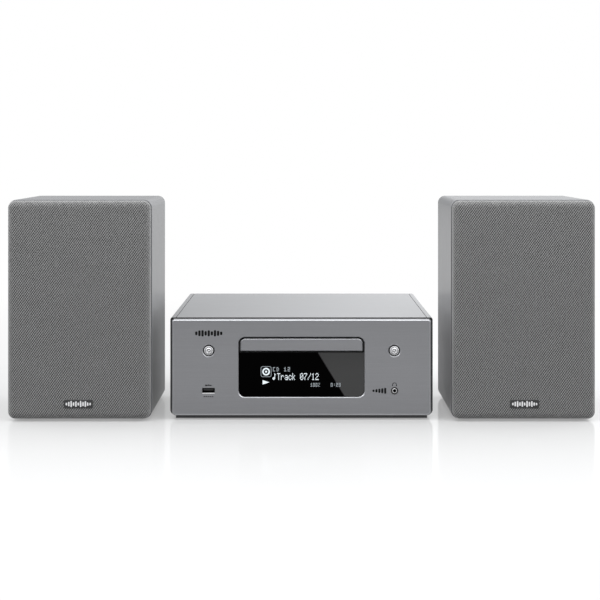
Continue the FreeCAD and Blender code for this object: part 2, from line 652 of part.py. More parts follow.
def grille_cloth():
    """The stretched cloth, as one thin skin wrapped over the grille frame's front and sides."""
    x = (-SPEAKER_HALF_W + GRILLE_INSET, SPEAKER_HALF_W - GRILLE_INSET)
    z = (SPEAKER_Z[0] + GRILLE_INSET, SPEAKER_Z[1] - GRILLE_INSET)
    outer = block_y(x, z, CLOTH_FRONT, GRILLE_BACK, (GRILLE_R,) * 4)
    outer = outer.makeFillet(GRILLE_R - 1, edges_at_y(outer, CLOTH_FRONT))
    t = CLOTH_T
    inner = block_y((x[0] + t, x[1] - t), (z[0] + t, z[1] - t),
                    CLOTH_FRONT + t, GRILLE_BACK + 1, (GRILLE_R - t,) * 4)
    inner = inner.makeFillet(GRILLE_R - 1 - t, edges_at_y(inner, CLOTH_FRONT + t))
    return outer.cut(inner)


def badge():
    plate = block_y((-15.3, 15.3), (14.4, 23.6), SPEAKER_FRONT, CLOTH_FRONT, (1,) * 4)
    return plate.makeChamfer(0.3, edges_at_y(plate, SPEAKER_FRONT))


def woofer_basket():
    flange_front = BAFFLE_FRONT - 3
    outline = [(46.5, flange_front), (WOOFER_FLANGE_R, flange_front), (WOOFER_FLANGE_R, BAFFLE_FRONT)]
    outline += [(49.5, BAFFLE_FRONT), (32, -101.5), (32, -100), (28, -100), (28, -102.5), (46.5, -137)]
    basket = revolve_y(outline, 0, WOOFER_Z)
    for k in range(4):
        t = math.pi / 2 * k
        window = box(-19, 19, -132, -105, 10, 60)
        window.rotate(V(0, 0, 0), V(0, 1, 0), math.degrees(t))
        window.translate(V(0, 0, WOOFER_Z))
        basket = basket.cut(window)
    magnet = [(14.5, -100), (38, -100), (38, -81), (0, -81), (0, -100.5), (11.6, -100.5), (11.6, -85)]
    magnet += [(14.5, -85)]
    bolts = []
    for k in range(6):
        t = math.pi / 3 * k + math.pi / 6
        x, z = 53.5 * math.cos(t), WOOFER_Z + 53.5 * math.sin(t)
        bolts.append(rod_y(2.6, x, z, flange_front - 1, flange_front))
    return Part.makeCompound([fuse([basket] + bolts), revolve_y(magnet, 0, WOOFER_Z)])


def woofer_surround():
    """The rubber half-roll between the basket's flange and the cone's edge."""
    base, middle, roll, skin = BAFFLE_FRONT - 3, 43.3, 3.6, 0.8
    outer_arc = []
    inner_arc = []
    for k in range(9):
        t = math.pi * k / 8
        outer_arc.append((middle - roll * math.cos(t), base - skin - roll * math.sin(t) * 0.95))
        inner_arc.append((middle - (roll - skin) * math.cos(t), base - (roll - skin) * math.sin(t) * 0.95))
    outline = [(36.6, base - skin)] + outer_arc + [(49.5, base - skin), (49.5, base)]
    outline += list(reversed(inner_arc)) + [(36.6, base)]
    return revolve_y(outline, 0, WOOFER_Z)


def woofer_cone():
    edge = BAFFLE_FRONT - 2.6
    depth = 21.0
    cone = [(38.4, edge), (38.4, edge + 0.8), (13.2, edge + depth + 0.8), (12.7, edge + depth + 0.8)]
    cone += [(12.7, edge + depth - 0.2), (37.4, edge)]
    former = [(12.7, edge + depth - 1), (13.2, edge + depth - 1), (13.2, -90.5), (12.7, -90.5)]
    dome_r = 16.0
    outer_dome = []
    inner_dome = []
    for k in range(7):
        t = math.radians(62) * k / 6
        outer_dome.append((dome_r * math.sin(t), edge + depth + 6.3 - dome_r * math.cos(t)))
        inner_dome.append(((dome_r - 0.8) * math.sin(t), edge + depth + 6.3 - (dome_r - 0.8) * math.cos(t)))
    dome = outer_dome + list(reversed(inner_dome))
    return fuse([revolve_y(part, 0, WOOFER_Z) for part in (cone, former, dome)])


def tweeter():
    flange_front = BAFFLE_FRONT - 2.5
    face = [(13.5, flange_front + 1.2), (28, flange_front), (32, flange_front), (32, BAFFLE_FRONT)]
    face += [(25, BAFFLE_FRONT), (25, -112), (0, -112), (0, -134), (13.5, -134)]
    body = revolve_y(face, 0, TWEETER_Z)
    dome = Part.makeSphere(15.5, V(0, -122.5, TWEETER_Z)).common(rod_y(13.5, 0, TWEETER_Z, -150, -133))
    return fuse([body, dome])


def port_tube():
    back = CABINET_BACK + 2
    r = PORT_TUBE_R
    outline = [(r + 4, back), (r + 9, back - 0.5), (r + 9, CABINET_BACK), (r + 2, CABINET_BACK)]
    outline += [(r + 2, -50), (r, -50), (r, back - 8), (r + 0.7, back - 4), (r + 2, back - 1)]
    return revolve_y(outline, 0, PORT_TUBE_Z)


def terminal_cup():
    back = CABINET_BACK
    plate = block_y((-35, 35), (CUP_Z - 26, CUP_Z + 26), back, back + 2, (3,) * 4)
    well = block_y((-29, 29), (CUP_Z - 20, CUP_Z + 20), back - 18, back, (3,) * 4)
    recess = block_y((-27, 27), (CUP_Z - 18, CUP_Z + 18), back - 16, back + 3, (4,) * 4)
    cup = fuse([plate, well]).cut(recess)
    posts = [post(x, CUP_Z, back - 16, back - 2) for x in cup_post_places()]
    crossover = box(-28, 28, back - 24, back - 22.4, CUP_Z - 24, CUP_Z + 24)
    stand_offs = [rod_y(3, x, CUP_Z, back - 22.4, back - 18) for x in (-20, 20)]
    coil = rod_y(12, -12, CUP_Z + 8, back - 36, back - 24).cut(rod_y(5, -12, CUP_Z + 8, back - 37, back - 23))
    capacitor = rod_x(7, back - 31, CUP_Z - 14, -16, 16)
    board = fuse([crossover] + stand_offs)
    return Part.makeCompound([cup, board, coil, capacitor] + posts)


def cup_post_places():
    return -POST_PITCH / 2, POST_PITCH / 2


def cup_cap(x):
    return screw_cap(x, CUP_Z, CABINET_BACK - 15.4, CABINET_BACK - 1.5)


def speaker_feet():
    places = [(x, y) for x in (-60, 60) for y in (-125, CABINET_BACK - 16)]
    return Part.makeCompound([rod_z(7, x, y, 0, SPEAKER_Z[0]) for x, y in places])


def speaker_nodes(side):
    """The fourteen nodes of one speaker. The red post is to the right seen from behind."""
    black_x, red_x = cup_post_places()[::-1]
    shapes = {
        "cabinet": cabinet(),
        "baffle": baffle(),
        "grille_frame": grille_frame(),
        "grille_cloth": grille_cloth(),
        "badge": badge(),
        "woofer_basket": woofer_basket(),
        "woofer_surround": woofer_surround(),
        "woofer_cone": woofer_cone(),
        "tweeter": tweeter(),
        "port_tube": port_tube(),
        "terminal_cup": terminal_cup(),
        "cap_red": cup_cap(red_x),
        "cap_black": cup_cap(black_x),
        "feet": speaker_feet(),
    }
    move = V(-SPEAKER_X if side == "left" else SPEAKER_X, SPEAKER_Y, 0)
    return {f"{side}_{name}": shape.translated(move) for name, shape in shapes.items()}


def unit_nodes():
    caps = unit_post_places()
    right_cheek = side_cheek()
    return {
        "front_panel": front_panel(),
        "window_frame": window_frame(),
        "display_glass": display_glass(),
        "display_board": display_board(),
        "side_cheek_left": mirrored(right_cheek),
        "side_cheek_right": right_cheek,
        "top_plate": top_plate(),
        "chassis_base": chassis_base(),
        "rear_panel": rear_panel(),
        "unit_feet": unit_feet(),
        "case_screws": case_screws(),
        "usb_port": usb_port(),
        "headphone_jack": headphone_jack(),
        "power_button": push_button(-BUTTON_X),
        "eject_button": push_button(BUTTON_X),
        "main_board": main_board(),
        "power_supply": power_supply(),
        "rear_sockets": rear_sockets(),
        "terminal_block": terminal_block(),
        "unit_cap_left_red": unit_cap(caps[0]),
        "unit_cap_left_black": unit_cap(caps[1]),
        "unit_cap_right_red": unit_cap(caps[2]),
        "unit_cap_right_black": unit_cap(caps[3]),
        "loader_frame": loader_frame(),
        "disc_tray": disc_tray(),
        "drawer_front": drawer_front(),
        "loading_gear": loading_gear(),
        "traverse": traverse(),
        "turntable": turntable(),
        "pickup": pickup(),
        "sled_gear": sled_gear(),
        "disc_clamp": disc_clamp(),
    }


nodes = unit_nodes()
for side_name in ("left", "right"):
    nodes.update(speaker_nodes(side_name))
os.makedirs("parts", exist_ok=True)
for node_name, node_shape in nodes.items():
    node_shape.exportStep(f"parts/{node_name}.step")
print(len(nodes), "nodes")
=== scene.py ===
import bmesh
import bpy
import json
import math
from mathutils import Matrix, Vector


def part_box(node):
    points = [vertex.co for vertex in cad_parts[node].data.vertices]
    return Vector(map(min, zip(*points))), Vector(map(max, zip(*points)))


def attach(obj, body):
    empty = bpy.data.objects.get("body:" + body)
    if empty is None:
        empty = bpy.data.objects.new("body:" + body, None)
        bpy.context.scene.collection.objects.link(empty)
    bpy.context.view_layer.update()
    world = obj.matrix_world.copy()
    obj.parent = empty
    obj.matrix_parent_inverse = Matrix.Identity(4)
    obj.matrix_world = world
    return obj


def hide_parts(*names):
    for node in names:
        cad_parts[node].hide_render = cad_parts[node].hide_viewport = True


# The looks of the mini hifi system: materials for the CAD nodes, woven grille cloths, badges,
# button faces, the lit display, printed symbols, and the studio. Metres, +X right, fronts face -Y.

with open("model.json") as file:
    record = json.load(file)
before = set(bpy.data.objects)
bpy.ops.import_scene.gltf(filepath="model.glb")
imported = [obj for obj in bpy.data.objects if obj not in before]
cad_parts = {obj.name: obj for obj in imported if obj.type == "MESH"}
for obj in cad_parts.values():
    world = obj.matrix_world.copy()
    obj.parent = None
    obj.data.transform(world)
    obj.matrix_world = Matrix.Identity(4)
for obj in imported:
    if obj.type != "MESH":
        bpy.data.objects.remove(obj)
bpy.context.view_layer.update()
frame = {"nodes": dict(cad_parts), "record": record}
MM = 0.001
SIDES = ("left", "right")


# ---- Node helpers ----
class Shade:
    """A material with a Principled shader and short calls for the nodes that feed it."""

    def __init__(self, name, color=(0.5, 0.5, 0.5), roughness=0.5, metallic=0.0):
        self.material = bpy.data.materials.new(name)
        self.material.use_nodes = True
        self.tree = self.material.node_tree
        self.bsdf = self.tree.nodes["Principled BSDF"]
        self.set("Base Color", (*color, 1.0))
        self.set("Roughness", roughness)
        self.set("Metallic", metallic)
        self.place = self.tree.nodes.new("ShaderNodeTexCoord").outputs["Object"]

    def set(self, socket, value):
        self.bsdf.inputs[socket].default_value = value
        return self

    def link(self, source, target):
        self.tree.links.new(source, target)

    def feed(self, source, socket):
        self.link(source, self.bsdf.inputs[socket])
        return self

    def add(self, kind, **values):
        node = self.tree.nodes.new(kind)
        for key, value in values.items():
            setattr(node, key, value)
        return node

    def math(self, operation, a, b=0.0, clamp=False):
        node = self.add("ShaderNodeMath", operation=operation, use_clamp=clamp)
        for i, value in enumerate((a, b)):
            if isinstance(value, (int, float)):
                node.inputs[i].default_value = value
            else:
                self.link(value, node.inputs[i])
        return node.outputs[0]

    def axes(self):
        node = self.add("ShaderNodeSeparateXYZ")
        self.link(self.place, node.inputs[0])
        return node.outputs

    def noise(self, scale, detail=2.0, stretch=None, rough=0.5):
        node = self.add("ShaderNodeTexNoise")
        node.inputs["Scale"].default_value = scale
        node.inputs["Detail"].default_value = detail
        node.inputs["Roughness"].default_value = rough
        source = self.place
        if stretch:
            mapping = self.add("ShaderNodeMapping")
            mapping.inputs["Scale"].default_value = stretch
            self.link(self.place, mapping.inputs["Vector"])
            source = mapping.outputs[0]
        self.link(source, node.inputs["Vector"])
        return node.outputs["Fac"]

    def ramp(self, source, stops):
        node = self.add("ShaderNodeValToRGB")
        elements = node.color_ramp.elements
        while len(elements) < len(stops):
            elements.new(0.5)
        for element, (at, color) in zip(elements, stops):
            element.position = at
            element.color = (*color, 1.0) if len(color) == 3 else color
        self.link(source, node.inputs["Fac"])
        return node.outputs["Color"]

    def spread(self, source, low, high):
        """source from 0 to 1 becomes low to high."""
        node = self.add("ShaderNodeMapRange")
        node.inputs["To Min"].default_value = low
        node.inputs["To Max"].default_value = high
        self.link(source, node.inputs["Value"])
        return node.outputs["Result"]

    def bump(self, height, strength, distance):
        node = self.add("ShaderNodeBump")
        node.inputs["Strength"].default_value = strength
        node.inputs["Distance"].default_value = distance
        self.link(height, node.inputs["Height"])
        self.feed(node.outputs["Normal"], "Normal")
        return self


def gray(value, tint=(1.0, 1.0, 1.0)):
    return tuple(value * t for t in tint)


# ---- Materials ----
COOL = (0.975, 0.985, 1.03)


def satin_paint(name, value, roughness, flake=0.03, metallic=0.9, tint=COOL, coat=0.15,
                brushed=0.0, specular=0.5):
    """Satin metallic paint: fine flake, slow tone drift, faint brushing along X, orange peel."""
    s = Shade(name, roughness=roughness, metallic=metallic)
    s.set("Specular IOR Level", specular)
    s.set("Coat Weight", coat)
    s.set("Coat Roughness", 0.16)
    grain = s.noise(650, 1.0)
    drift = s.noise(9, 3.0)
    tone = s.math("ADD", s.spread(grain, -flake, flake), s.spread(drift, -0.03, 0.03))
    if brushed:
        lines = s.noise(900, 2.0, stretch=(0.02, 1, 1))
        tone = s.math("ADD", tone, s.spread(lines, -brushed, brushed))
    level = s.math("ADD", tone, 0.5, clamp=True)
    dark, light = gray(value * 0.5, tint), gray(value * 1.5, tint)
    s.feed(s.ramp(level, [(0.0, dark), (1.0, light)]), "Base Color")
    # A narrow spread: on the silver, one from 0.24 to 0.33 showed up as speckles.
    s.feed(s.spread(s.noise(60, 4.0), roughness - 0.005, roughness + 0.03), "Roughness")
    s.bump(s.noise(120, 1.0), 0.04, 0.0001)
    return s.material


def moulded(name, color, roughness=0.45, texture=2600, depth=0.00003):
    """Moulded plastic with a fine spark-eroded texture."""
    s = Shade(name, roughness=roughness)
    s.set("Specular IOR Level", 0.4)
    grain = s.noise(texture, 3.0, rough=0.65)
    dark = tuple(c * 0.82 for c in color)
    light = tuple(c * 1.18 for c in color)
    s.feed(s.ramp(grain, [(0.25, dark), (0.75, light)]), "Base Color")
    s.feed(s.spread(s.noise(45, 3.0), roughness - 0.06, roughness + 0.08), "Roughness")
    s.bump(grain, 0.25, depth)
    return s.material


def rubber(name, color=(0.012, 0.012, 0.013)):
    s = Shade(name, roughness=0.62)
    s.set("Specular IOR Level", 0.3)
    dust = s.noise(150, 4.0)
    s.feed(s.ramp(dust, [(0.3, color), (0.8, tuple(c * 2.2 for c in color))]), "Base Color")
    s.feed(s.spread(dust, 0.52, 0.75), "Roughness")
    s.bump(s.noise(1800, 2.0), 0.2, 0.00004)
    return s.material


def polished(name, color=(0.78, 0.78, 0.79), roughness=0.10):
    s = Shade(name, color=color, roughness=roughness, metallic=1.0)
    wear = s.noise(320, 4.0)
    s.feed(s.spread(wear, roughness * 0.6, roughness * 1.8), "Roughness")
    s.feed(s.ramp(wear, [(0.2, tuple(c * 0.92 for c in color)), (0.8, color)]), "Base Color")
    s.bump(s.noise(900, 2.0), 0.04, 0.00002)
    return s.material


def zinc_sheet(name):
    s = Shade(name, roughness=0.36, metallic=0.9)
    spangle = s.add("ShaderNodeTexVoronoi")
    spangle.inputs["Scale"].default_value = 160
    s.link(s.place, spangle.inputs["Vector"])
    tones = [(0.0, gray(0.42)), (1.0, gray(0.58))]
    s.feed(s.ramp(spangle.outputs["Distance"], tones), "Base Color")
    s.feed(s.spread(s.noise(220, 3.0), 0.28, 0.46), "Roughness")
    s.bump(s.noise(500, 2.0, stretch=(1, 0.05, 1)), 0.08, 0.00003)
    return s.material


def circuit_board(name):
    """Green solder mask with traces that run along X and Y."""
    s = Shade(name, roughness=0.35)
    brick = s.add("ShaderNodeTexBrick")
    brick.inputs["Scale"].default_value = 260
    brick.inputs["Mortar Size"].default_value = 0.08
    brick.inputs["Color1"].default_value = (0.006, 0.065, 0.022, 1)
    brick.inputs["Color2"].default_value = (0.008, 0.085, 0.030, 1)
    brick.inputs["Mortar"].default_value = (0.030, 0.16, 0.060, 1)
    s.link(s.place, brick.inputs["Vector"])
    s.feed(brick.outputs["Color"], "Base Color")
    s.bump(brick.outputs["Fac"], 0.15, 0.00003)
    s.feed(s.spread(s.noise(300, 2.0), 0.28, 0.44), "Roughness")
    return s.material


# The painted reflection on the lens, a lighter band at its right: where its edge stands at the
# foot, and how far that leans, as shares of the width; and how sharp the edge is.
LENS_REFLECTION_FOOT = 0.842
LENS_REFLECTION_LEAN = 0.215
LENS_REFLECTION_SHARP = 90.0


def lens_black(name, box):
    """The display's gloss lens: a deep black, with a painted reflection as one slanted lighter band
    at its right.
    """
    s = Shade(name, roughness=0.03)
    s.set("Specular IOR Level", 0.012)
    x, _, z = s.axes()
    low, high = box
    across = s.math("DIVIDE", s.math("SUBTRACT", x, low.x), high.x - low.x)
    up = s.math("DIVIDE", s.math("SUBTRACT", z, low.z), high.z - low.z)
    # Painted reflection: lighter base colour right of a slanted edge, a little stronger towards the
    # foot.
    edge = s.math("SUBTRACT", LENS_REFLECTION_FOOT, s.math("MULTIPLY", up, LENS_REFLECTION_LEAN))
    painted_reflection = s.math("MULTIPLY", s.math("SUBTRACT", across, edge), LENS_REFLECTION_SHARP, clamp=True)
    painted_reflection = s.math("MULTIPLY", painted_reflection, s.spread(up, 1.15, 0.85))
    reflection_tone = s.math("MULTIPLY", painted_reflection, s.spread(s.noise(14, 2.0), 0.92, 1.08))
    s.feed(s.ramp(reflection_tone, [(0.0, gray(0.0001)), (1.0, gray(0.029))]), "Base Color")
    s.feed(s.spread(s.noise(70, 4.0), 0.02, 0.06), "Roughness")
    return s.material


def lit(name, color, strength):
    s = Shade(name, color=(0.02, 0.02, 0.02), roughness=0.4)
    flicker = s.spread(s.noise(700, 1.0), 0.85, 1.1)
    tone = s.ramp(flicker, [(0.0, tuple(c * 0.8 for c in color)), (1.0, color)])
    s.feed(tone, "Emission Color")
    s.set("Emission Strength", strength)
    return s.material


def printed(name, value):
    """Matt screen-printing ink."""
    s = Shade(name, roughness=0.7)
    s.set("Specular IOR Level", 0.05)
    ink = s.noise(2500, 3.0)
    s.feed(s.ramp(ink, [(0.3, gray(value * 0.8)), (0.8, gray(value * 1.3))]), "Base Color")
    return s.material


def cone_paper(name):
    s = Shade(name, roughness=0.6)
    fibre = s.noise(420, 5.0, stretch=(1, 1, 0.25))
    s.feed(s.ramp(fibre, [(0.3, gray(0.014)), (0.75, gray(0.035))]), "Base Color")
    s.feed(s.spread(fibre, 0.5, 0.7), "Roughness")
    s.bump(fibre, 0.3, 0.00008)
    return s.material


# Each vertex of a cloth keeps its place on the flat cloth in this layer.
WEAVE_LAYER = "weave"
# The twill's ribs and its cross yarns, in waves per metre of flat cloth, across and up.
TWILL_WAVES = (-400.0, 295.0)
CROSS_WAVES = (400.0, 295.0)


def woven_cloth(name, low, high):
    """Grey acoustic cloth: steep twill ribs with dark gaps, broken up by cross yarns and fuzz."""
    s = Shade(name, roughness=0.85)
    s.set("Specular IOR Level", 0.15)
    s.set("Sheen Weight", 0.2)
    s.set("Sheen Roughness", 0.5)
    flat = s.add("ShaderNodeAttribute", attribute_name=WEAVE_LAYER)
    split = s.add("ShaderNodeSeparateXYZ")
    s.link(flat.outputs["Vector"], split.inputs[0])
    across, high_up, _ = split.outputs
    wander = s.spread(s.noise(180, 2.0), -0.6, 0.6)

    def wave(waves):
        along = s.math("MULTIPLY", across, 2 * math.pi * waves[0])
        up = s.math("MULTIPLY", high_up, 2 * math.pi * waves[1])
        return s.math("SINE", s.math("ADD", s.math("ADD", along, up), wander))

    rib = s.math("MULTIPLY", wave(TWILL_WAVES), 0.42)
    cross = s.math("MULTIPLY", wave(CROSS_WAVES), 0.20)
    fuzz = s.spread(s.noise(800, 3.0, stretch=(0.7, 1, 1.3), rough=0.7), -0.75, 0.75)
    slub = s.spread(s.noise(30, 3.0, stretch=(1, 1, 3)), -0.05, 0.05)
    yarn = s.math("ADD", s.math("ADD", rib, cross), s.math("ADD", fuzz, slub))
    level = s.math("ADD", yarn, 0.5, clamp=True)
    middle = (low + high) / 2
    s.feed(s.ramp(level, [(0.0, gray(low)), (0.5, gray(middle)), (1.0, gray(high))]), "Base Color")
    s.bump(level, 0.5, 0.0004)
    return s.material


# ---- Mesh helpers ----
def smooth(obj, angle=35):
    """Shades a piece smooth, and keeps edges sharper than angle sharp."""
    obj.data.polygons.foreach_set("use_smooth", [True] * len(obj.data.polygons))
    obj.data.set_sharp_from_angle(angle=math.radians(angle))


def piece(name, build, material, body, angle=35):
    """A new mesh piece: build fills a bmesh, in metres, in the row frame."""
    bm = bmesh.new()
    build(bm)
    bmesh.ops.recalc_face_normals(bm, faces=bm.faces)
    mesh = bpy.data.meshes.new(name)
    bm.to_mesh(mesh)
    bm.free()
    obj = bpy.data.objects.new(name, mesh)
    bpy.context.collection.objects.link(obj)
    for one in material if isinstance(material, (list, tuple)) else [material]:
        mesh.materials.append(one)
    smooth(obj, angle)
    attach(obj, body)
    return obj


def bridge(bm, rings, closed=True, material=0):
    """Faces between rows of vertices that have the same length."""
    for lower, upper in zip(rings, rings[1:]):
        count = len(lower)
        for i in range(count if closed else count - 1):
            j = (i + 1) % count
            face = bm.faces.new((lower[i], lower[j], upper[j], upper[i]))
            face.material_index = material


def rounded_outline(half_x, half_z, r, arc=6):
    """Points round a rounded rectangle about the origin, anticlockwise seen from the front."""
    points = []
    for turn, (sx, sz) in enumerate(((1, 1), (-1, 1), (-1, -1), (1, -1))):
        for k in range(arc + 1):
            t = math.pi / 2 * (turn + k / arc)
            points.append((sx * (half_x - r) + r * math.cos(t),
                           sz * (half_z - r) + r * math.sin(t)))
    return points


def slab(bm, outline, y_front, y_back, material=0):
    """A flat piece with an outline in XZ, from y_front back to y_back."""
    front = [bm.verts.new((x, y_front, z)) for x, z in outline]
    back = [bm.verts.new((x, y_back, z)) for x, z in outline]
    bridge(bm, [front, back], material=material)
    bm.faces.new(front).material_index = material
    bm.faces.new(list(reversed(back))).material_index = material


def bar(bm, x, z, width, height, y_front, y_back, r=None, material=0):
    """A small rounded bar whose middle is at x, z."""
    r = min(width, height) * 0.45 if r is None else r
    outline = [(x + px, z + pz) for px, pz in rounded_outline(width / 2, height / 2, r, 3)]
    slab(bm, outline, y_front, y_back, material)


def lathe(bm, profile, x, z, steps=64, material=0):
    """Turns (radius, y) points about the line along Y through x, z."""
    rings = []
    for r, y in profile:
        if r == 0:
            rings.append([bm.verts.new((x, y, z))] * steps)
        else:
            angles = [2 * math.pi * k / steps for k in range(steps)]
            rings.append([bm.verts.new((x + r * math.cos(t), y, z + r * math.sin(t)))
                          for t in angles])
    for lower, upper in zip(rings, rings[1:]):
        for i in range(steps):
            j = (i + 1) % steps
            corners = []
            for v in (lower[i], lower[j], upper[j], upper[i]):
                if v not in corners:
                    corners.append(v)
            bm.faces.new(corners).material_index = material


# ---- Pieces ----
# The cloth: its front roll, corners, turned hem and fold, its dip over the frame's opening, and
# the rows of faces from the edge to the middle, of which the first few slope.
CLOTH = dict(roll=6.6 * MM, corner=7.6 * MM, hem=5.0 * MM, fold=0.9 * MM, sag=0.12 * MM)
CLOTH_ARC_STEPS = 8
CLOTH_ROWS = 24
CLOTH_SLOPE_ROWS = 10


def cloth_piece(side, material):
    """The grille cloth: stretched over the frame's rounded front edge and tucked in behind it."""
    node = f"{side}_grille_cloth"
    low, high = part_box(node)
    middle = (low + high) / 2
    half_x, half_z = (high.x - low.x) / 2, (high.z - low.z) / 2
    roll, corner, hem, fold = (CLOTH[key] for key in ("roll", "corner", "hem", "fold"))
    depth = high.y - low.y
    # Each ring is (inset from the outside, y, distance along the cloth from the front's flat part).
    rings = []
    for k in range(CLOTH_ARC_STEPS + 1):
        t = math.pi / 2 * k / CLOTH_ARC_STEPS
        rings.append((roll * (1 - math.sin(t)), low.y + roll * (1 - math.cos(t)), roll * t))
    reach = roll * math.pi / 2
    rings.append((0.0, low.y + depth * 0.75, reach + depth * 0.75 - roll))
    rings.append((0.0, high.y - fold, reach + depth - fold - roll))
    rings.append((fold * 0.3, high.y - fold * 0.3, reach + depth - roll))
    rings.append((fold, high.y, reach + depth - roll + fold))
    rings.append((hem, high.y, reach + depth - roll + hem))

    def build(bm):
        layer = bm.verts.layers.float_vector.new(WEAVE_LAYER)
        flat_front = rounded_outline(half_x - roll, half_z - roll, corner - roll, 8)
        rows = []
        for inset, y, along in rings:
            row = []
            outline = rounded_outline(half_x - inset, half_z - inset, corner - inset, 8)
            for (x, z), (fx, fz) in zip(outline, flat_front):
                v = bm.verts.new((middle.x + x, y, middle.z + z))
                away = Vector((x - fx, z - fz))
                away = away.normalized() if away.length > 1e-6 else Vector((0, 0))
                v[layer] = (middle.x + fx + away.x * along, middle.z + fz + away.y * along, 0)
                row.append(v)
            rows.append(row)
        bridge(bm, rows)
        previous = rows[0]
        for k in range(1, CLOTH_ROWS + 1):
            share = 1 - k / (CLOTH_ROWS + 1)
            sag = CLOTH["sag"] * (1 - math.cos(min(k / CLOTH_SLOPE_ROWS, 1) * math.pi)) / 2
            row = []
            for fx, fz in flat_front:
                v = bm.verts.new((middle.x + fx * share, low.y + sag, middle.z + fz * share))
                v[layer] = (v.co.x, v.co.z, 0)
                row.append(v)
            bridge(bm, [previous, row])
            previous = row
        bm.faces.new(previous)

    obj = piece(f"{side}_cloth", build, material, f"{side}_grille", 60)
    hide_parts(node)
    return obj


# The heights of the badge's bars, as shares of the tallest.
BADGE_BARS = (0.45, 0.75, 1.0, 0.6, 0.9, 0.5, 1.0, 0.7, 0.95, 0.55, 0.4)


def badge_piece(side, plate, bright):
    """A small dark badge with a row of bright raised bars, like a level meter."""
    node = f"{side}_badge"
    low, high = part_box(node)
    middle = (low + high) / 2
    half_x, half_z = (high.x - low.x) / 2, (high.z - low.z) / 2
    face_y = low.y + 0.45 * MM

    def build(bm):
        outer = [(middle.x + x, middle.z + z) for x, z in rounded_outline(half_x, half_z, 1.0 * MM)]
        step = 0.35 * MM
        inner = rounded_outline(half_x - step, half_z - step, 0.65 * MM)
        inner = [(middle.x + x, middle.z + z) for x, z in inner]
        rows = [[bm.verts.new((x, y, z)) for x, z in outline] for outline, y in
                ((outer, high.y), (outer, face_y + step), (inner, face_y))]
        bridge(bm, rows)
        bm.faces.new(rows[-1])
        bm.faces.new(list(reversed(rows[0])))
        pitch = (2 * half_x - 3.2 * MM) / len(BADGE_BARS)
        for k, height in enumerate(BADGE_BARS):
            x = middle.x + (k - (len(BADGE_BARS) - 1) / 2) * pitch
            bar(bm, x, middle.z, pitch * 0.66, height * 6.4 * MM, low.y, face_y, material=1)

    obj = piece(f"{side}_badge_plate", build, [plate, bright], f"{side}_grille", 30)
    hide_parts(node)
    return obj


# The woofer's surround, in mm: radii, the height of the roll as a share of its radius, thickness.
SURROUND = dict(middle=43.3, roll=3.6, skin=0.8, rise=0.95, outside=49.5, lip=(36.6, 39.5))


def surround_pieces(side, material):
    """The woofer's rubber edge: the half roll stays with the basket, the lip with the cone."""
    node = f"{side}_woofer_surround"
    low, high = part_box(node)
    x, z, base = (low.x + high.x) / 2, (low.z + high.z) / 2, high.y
    front = base - SURROUND["skin"] * MM
    inner_roll = SURROUND["roll"] - SURROUND["skin"]
    outer, inner = [], []
    for k in range(17):
        t = math.pi * k / 16
        for arc, r, start in ((outer, SURROUND["roll"], front), (inner, inner_roll, base)):
            y = start - r * SURROUND["rise"] * math.sin(t) * MM
            arc.append(((SURROUND["middle"] - r * math.cos(t)) * MM, y))
    outside = SURROUND["outside"] * MM
    roll = outer + [(outside, front), (outside, base)] + inner[::-1]
    a, b = (r * MM for r in SURROUND["lip"])
    lip = [(a, front), (b, front), (b, base), (a, base)]
    obj = turned_piece(f"{side}_surround_roll", roll, x, z, material, f"{side}_speaker")
    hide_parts(node)
    turned_piece(f"{side}_surround_lip", lip, x, z, material, f"{side}_cone")


def turned_piece(name, outline, x, z, material, body):
    """A closed (radius, y) outline turned about the line along Y through x, z."""
    def build(bm):
        lathe(bm, outline + outline[:1], x, z, 96)
        bmesh.ops.remove_doubles(bm, verts=bm.verts, dist=0.001 * MM)

    return piece(name, build, material, body, 40)


# The button's turned face: (radius, depth behind the front) in mm, from the middle out.
BUTTON_PROFILE = (
    (0, 0.30), (0.6, 0.34), (0.95, 0.62), (1.2, 1.0), (1.45, 1.05), (1.75, 0.65), (2.1, 0.30),
    (2.5, 0.22), (2.85, 0.45), (3.1, 0.9), (3.4, 0.95), (3.75, 0.5), (4.1, 0.08), (4.45, 0.0),
    (4.75, 0.12), (4.85, 0.5), (4.85, 3.3),
)


# The collar behind it, as (radius, depth) in mm; it ends in a stem as long as the CAD button.
# It is black, as painted shade in the gap round the button.
BUTTON_COLLAR = ((4.85, 0.9), (5.1, 0.9), (5.1, 3.3), (7.0, 3.3), (7.0, 4.2), (1.6, 4.2))
BUTTON_STEM_R = 1.6


def button_piece(node, body, bright, dark):
    """A turned metal button with concentric rings; its collar behind the panel is black as painted
    shade.
    """
    low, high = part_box(node)
    x, z = (low.x + high.x) / 2, (low.z + high.z) / 2
    front = low.y
    back = (high.y - front) / MM

    def build(bm):
        lathe(bm, [(r * MM, front + y * MM) for r, y in BUTTON_PROFILE], x, z)
        # The collar takes the second material: black, as painted shade in the gap round the button.
        collar = (*BUTTON_COLLAR, (BUTTON_STEM_R, back), (0, back))
        lathe(bm, [(r * MM, front + y * MM) for r, y in collar], x, z, material=1)

    obj = piece(f"{node}_turned", build, [bright, dark], body, 25)
    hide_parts(node)
    return obj


